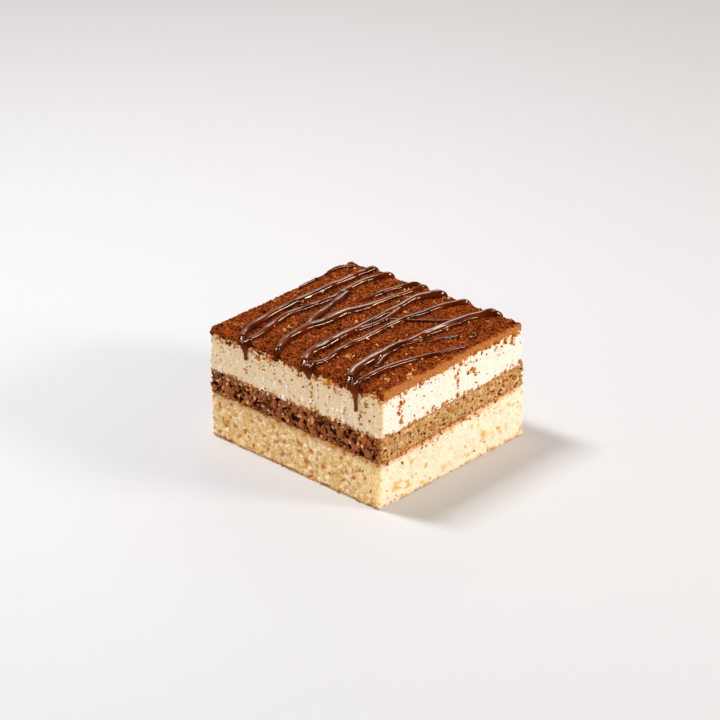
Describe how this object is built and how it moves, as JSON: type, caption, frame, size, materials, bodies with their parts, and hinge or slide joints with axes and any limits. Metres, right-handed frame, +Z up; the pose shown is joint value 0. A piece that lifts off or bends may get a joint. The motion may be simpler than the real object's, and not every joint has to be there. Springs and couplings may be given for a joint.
{
  "type": "tiramisu milk cake",
  "caption": "Square-cut portion of layered milk cake: pale sponge, coffee-soaked sponge and whipped cream under cocoa, with chocolate sauce drizzled over the top and down the sides.",
  "frame": {"origin": "middle of the cake's footprint, on the surface that it stands on", "axes": "+Z up, -Y out of the cut side that the long front drips run down, +X along that side to the right"},
  "size_m": [0.0878, 0.0838, 0.0482],
  "materials": {
    "sponge": "soft open crumb, pale yellow, soaked in milk",
    "coffee_sponge": "moist craggy crumb, coffee brown",
    "cream": "soft satin whipped cream",
    "cocoa": "dry cocoa powder, granular",
    "chocolate": "glossy dark chocolate sauce"
  },
  "bodies": {
    "root": {"bottom_sponge": "sponge", "coffee_sponge": "coffee_sponge", "cream_layer": "cream", "cocoa_top": "cocoa"}
  },
  "joints": []
}
